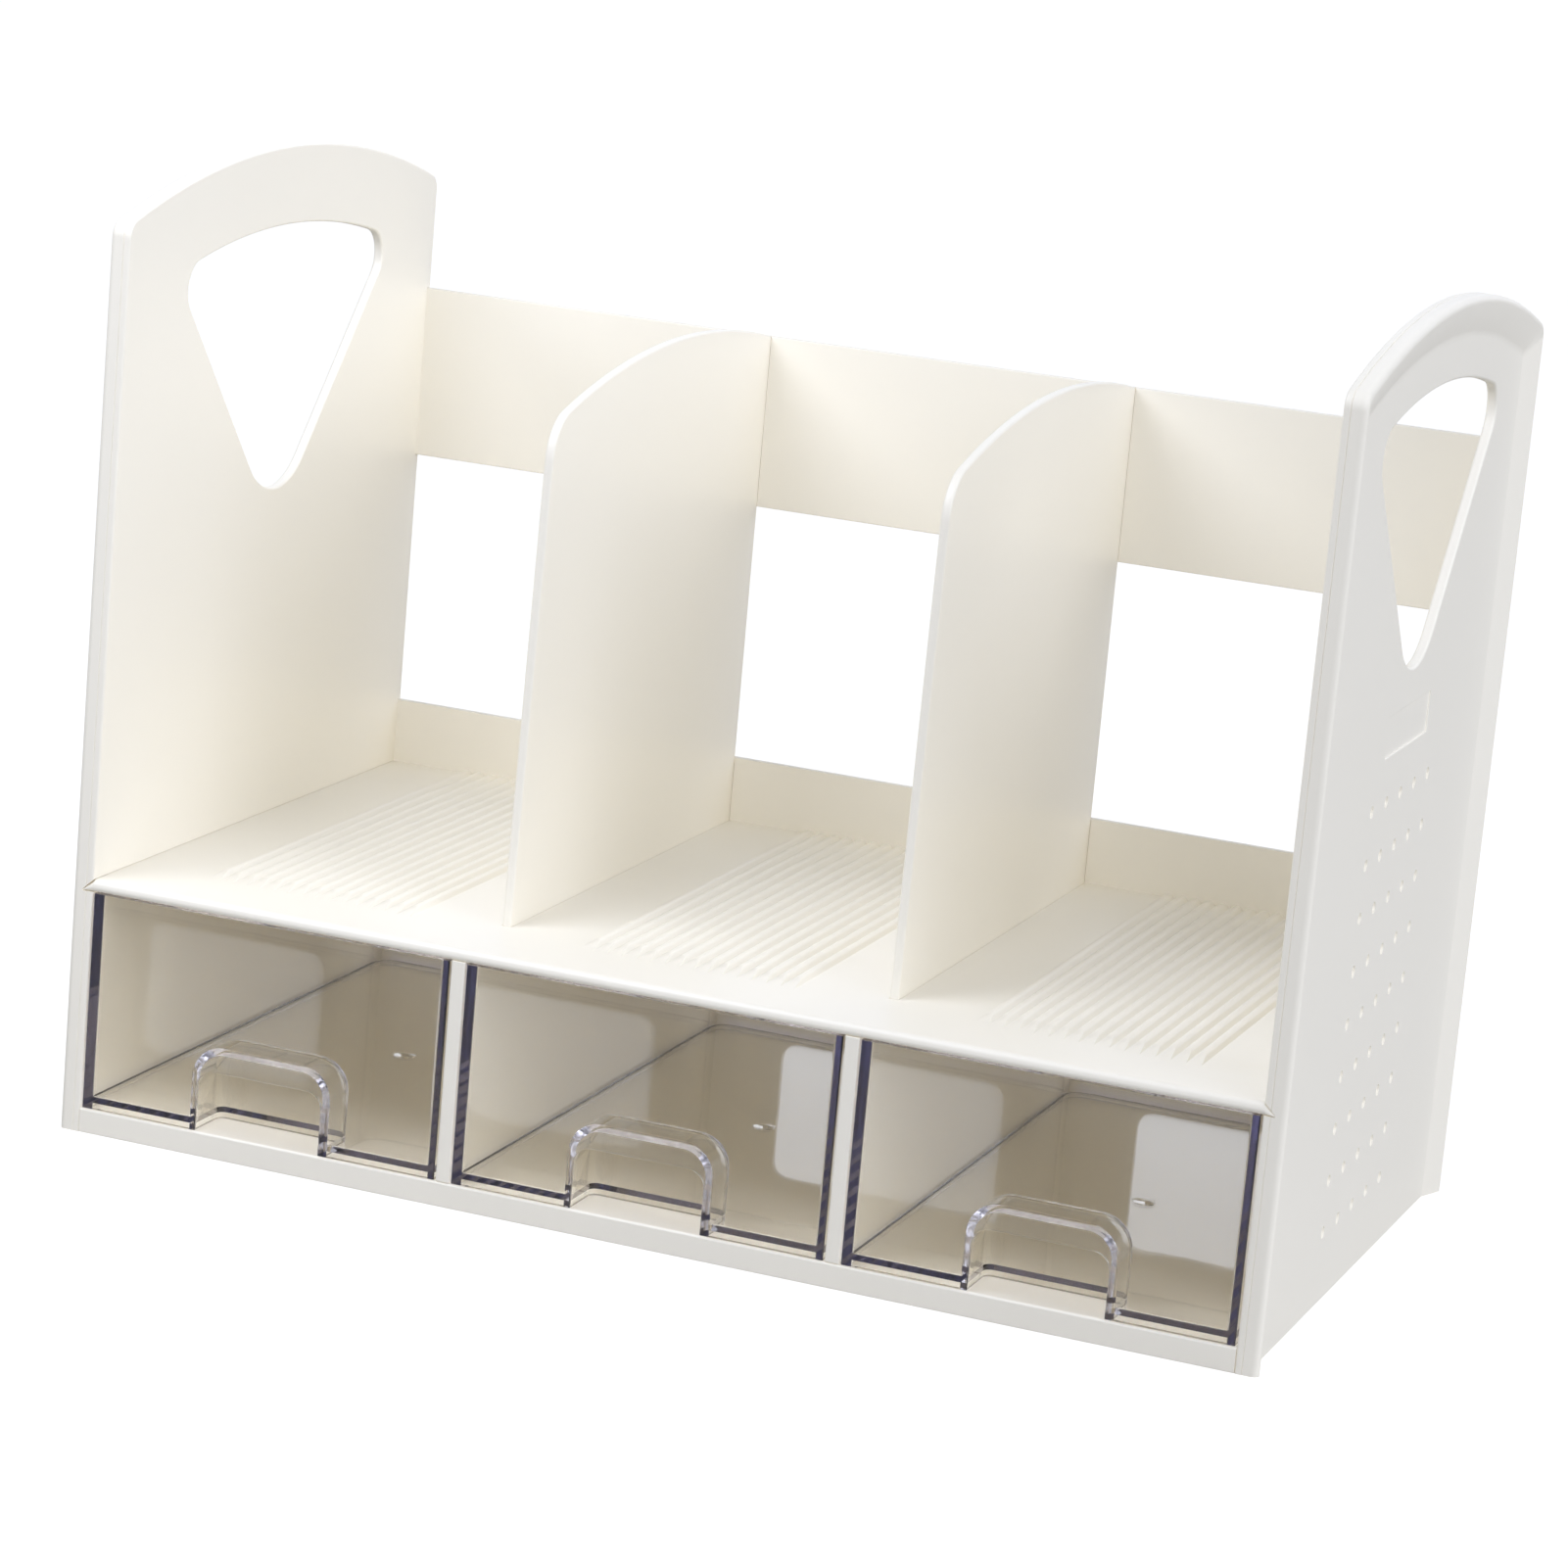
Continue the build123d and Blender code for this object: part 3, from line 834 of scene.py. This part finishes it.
# %% Drawer partitions
partition_thickness, partition_round = 4.0, 0.45


def partition(x):
    bm = bmesh.new()
    half, tongue = partition_thickness / 2, partition_tongue / 2
    box(bm, (x - half, x + half), (front, back_face), (base_height, shelf_bottom))
    rounded(bm, edges_where(bm, lambda c: near(c.y, front)), partition_round, 3)
    for sign in (-1, 1):
        for place, way in (((x - tongue, 0, 0), (1, 0, 0)), ((x + tongue, 0, 0), (1, 0, 0)),
                           ((0, front + joint_setback, 0), (0, 1, 0))):
            split(bm, [f for f in bm.faces if f.normal.z * sign > 0.99], place, way)
        caps = [f for f in bm.faces if f.normal.z * sign > 0.99
                and abs(f.calc_center_median().x - x) < tongue / 2]
        rearmost = max(caps, key=lambda f: f.calc_center_median().y)
        raise_face(bm, rearmost, (0, 0, sign * groove_depth))
    return bm


for side, x in (("left", -upright_x), ("right", upright_x)):
    finish_panel(partition(x), f"partition_{side}", f"{side}_drawer_partition")

# %% [markdown]
# A divider leans back a little in front and ends in the same arch as the side panels, with a large
# round corner between. The outline is drawn with the pen, and its rim is rounded like a moulding.

# %% File dividers
divider_lean, divider_crown, divider_corner, divider_round = 4.5, 60.0, 14.0, 0.7


def divider(x):
    foot = Vector((front + divider_setback, shelf_top - groove_depth))
    back = back_face + back_groove
    crown_y = back - divider_crown
    hub = Vector((crown_y, rail_top - sqrt(arch_radius**2 - divider_crown**2)))
    front_y = foot.x + divider_lean
    shoulder = hub.y + sqrt(arch_radius**2 - (crown_y - front_y) ** 2)
    way = (Vector((front_y, shoulder)) - foot).normalized()
    inward = Vector((way.y, -way.x))
    centre, along = corner_on_arch(hub, arch_radius, foot, way, inward, divider_corner)
    begin = atan2(rail_top - hub.y, back - hub.x)
    touch = atan2(centre.y - hub.y, centre.x - hub.x)
    bm = bmesh.new()
    outline = pen(bm, (back, foot.y), [
        (back, rail_top), (*hub, touch - begin, 30),
        (*centre, atan2(way.x, -way.y) - touch, 12), tuple(foot),
    ], SIDEWAYS, x - divider_thickness / 2)
    slab(bm, outline, (divider_thickness, 0, 0))
    rims = [e for e in bm.edges if near(e.verts[0].co.x, e.verts[1].co.x)
            and all(v.co.z > foot.y + 0.5 for v in e.verts)]
    sides = [e for e in bm.edges if near(e.verts[0].co.x, e.verts[1].co.x)
             and abs(e.verts[0].co.z - e.verts[1].co.z) > 50]
    rounded(bm, rims + [e for e in sides if e not in rims], divider_round, 3)
    return bm


for side, x in (("left", -upright_x), ("right", upright_x)):
    finish_panel(divider(x), f"divider_{side}", f"{side}_file_divider")

# %% [markdown]
# ## Drawers
# A drawer is one clear moulding: a tray on low runners, with a finger pocket in its foot. The
# pocket's walls stand inside the tray, and its rear turns into its roof in a soft bend that pipes
# light to the front. A bevel that wide would be clamped by the small faces around it, so the
# pocket is a row of outlines, each a little smaller than the last, bridged into a tunnel.

# %% Drawer outlines
drawer_half, drawer_bottom, drawer_top, drawer_rear = 53.6, 7.2, 68.1, 92.5
floor_low, floor_high = 8.6, 10.2
side_wall, front_wall, rear_round, front_round, floor_round = 2.4, 2.2, 8.0, 0.5, 1.4
pocket_half, pocket_roof, pocket_depth, pocket_wall, pocket_corner = 18.7, 29.2, 17.0, 2.2, 7.0
lip_height, lip_corner, lip_round, lip_reach, scoop_bend = 24.4, 4.8, 0.4, 5.0, 4.5
outer_round, rim_round, edge_round = 0.5, 1.2, 0.35
gate_radius, gate_height = 3.5, 0.6
bend_steps, corner_steps = 10, 8


def tray_outline(bm, inset, front_inset, back_corner, front_corner, level):
    """The tray seen from above, or its inside, with round corners."""
    half, near_y, far_y = drawer_half - inset, front + front_inset, drawer_rear - inset
    return pen(bm, (half, near_y + front_corner), [
        (half, far_y - back_corner), (half - back_corner, far_y - back_corner, pi / 2, 10),
        (back_corner - half, far_y), (back_corner - half, far_y - back_corner, pi / 2, 10),
        (-half, near_y + front_corner), (front_corner - half, near_y + front_corner, pi / 2, 6),
        (half - front_corner, near_y), (half - front_corner, near_y + front_corner, pi / 2, 6),
    ], FLAT, level)


def tray_solid(inset, front_inset, back_corner, front_corner, low, high):
    bm = bmesh.new()
    slab(bm, tray_outline(bm, inset, front_inset, back_corner, front_corner, low), (0, 0, high - low))
    return bm


def air(low, high):
    """The room between the tray's walls, from one height to another."""
    return tray_solid(side_wall, front_wall, rear_round - side_wall, front_round, low, high)


def tray_inside():
    bm = air(floor_high, drawer_top + past)
    rounded(bm, edges_where(bm, lambda c: near(c.z, floor_high)), floor_round, 4)
    return bm


def doorway(half, high, corner, near_y, far_y, bend=0):
    """A round-topped tunnel from below the drawer. Its far rim can turn inwards in a bend."""
    bm = bmesh.new()
    low = drawer_bottom - past
    turns = [pi / 2 * i / bend_steps for i in range(bend_steps + 1)] if bend else [0]
    stations = [(0, near_y)] + [(bend - bend * cos(t), far_y - bend + bend * sin(t)) for t in turns]
    rings = [pen(bm, (half - inset, low), [
        (half - inset, high - corner), (half - corner, high - corner, pi / 2, corner_steps),
        (corner - half, high - inset), (corner - half, high - corner, pi / 2, corner_steps),
        (inset - half, low),
    ], FACING, -y) for inset, y in stations]
    for ring, following in zip(rings, rings[1:]):
        bmesh.ops.bridge_loops(bm, edges=ring + following)
    for ring in (rings[0], rings[-1]):
        bmesh.ops.edgeloop_fill(bm, edges=ring)
    bmesh.ops.recalc_face_normals(bm, faces=bm.faces)
    return bm


def pocket_shell():
    wall = pocket_wall
    return doorway(pocket_half + wall, pocket_roof + wall, pocket_corner + wall,
                   front - past, front + pocket_depth, scoop_bend)


print("drawer outlines ready")

# %% [markdown]
# Adding one solid to another would leave hidden faces inside the plastic, which refraction shows.
# So the tray starts as one block, and everything that is air is cut out of it: the tray's inside
# and its underside, both less the pocket's shell, then the pocket and its mouth. The mark of the
# moulding gate is a low dome on the floor, so a ball is taken out of the air before that cut. Last,
# the rims are rounded, since a sharp edge of clear plastic would catch no light.

# %% Cut the tray
def tray():
    bm = tray_solid(0, 0, rear_round, outer_round, drawer_bottom, drawer_top)
    inside = tray_inside()
    ball = (gate_radius**2 + gate_height**2) / (2 * gate_height)
    gate = bmesh.new()
    bmesh.ops.create_icosphere(gate, subdivisions=4, radius=ball, matrix=Matrix.Translation(
        (0, (front + drawer_rear) / 2, floor_high + gate_height - ball)))
    cut(inside, gate)
    cut(inside, pocket_shell())
    cut(bm, inside)
    under = air(drawer_bottom - past, floor_low)
    cut(under, pocket_shell())
    cut(bm, under)
    cut(bm, doorway(pocket_half, pocket_roof, pocket_corner, front + front_wall,
                    front + pocket_depth - pocket_wall, scoop_bend - pocket_wall))
    cut(bm, doorway(pocket_half, lip_height, lip_corner, front - past, front + lip_reach))
    return bm


centre = tray()
rim = edges_where(centre, lambda c: near(c.z, drawer_top) and near(c.y, front))
rounded(centre, rim, rim_round, 8)
mouth = edges_where(centre, lambda c: near(c.y, front) and abs(c.x) < pocket_half + clearance
                    and c.z < lip_height + clearance)
rounded(centre, [e for e in mouth if e.calc_face_angle(0) > 1], lip_round, 4)
sharp = [e for e in centre.edges
         if len(e.link_faces) == 2 and e.is_convex and e.calc_face_angle() > radians(55)]
rounded(centre, sharp, edge_round, 2)
for place, x in (("left", -bay_step), ("centre", 0.0), ("right", bay_step)):
    bm = centre.copy()
    bmesh.ops.translate(bm, vec=(x, 0, 0), verts=bm.verts)
    finish(bm, f"drawer_{place}_tray", f"{place}_drawer", f"drawer_{place}",
           clear)
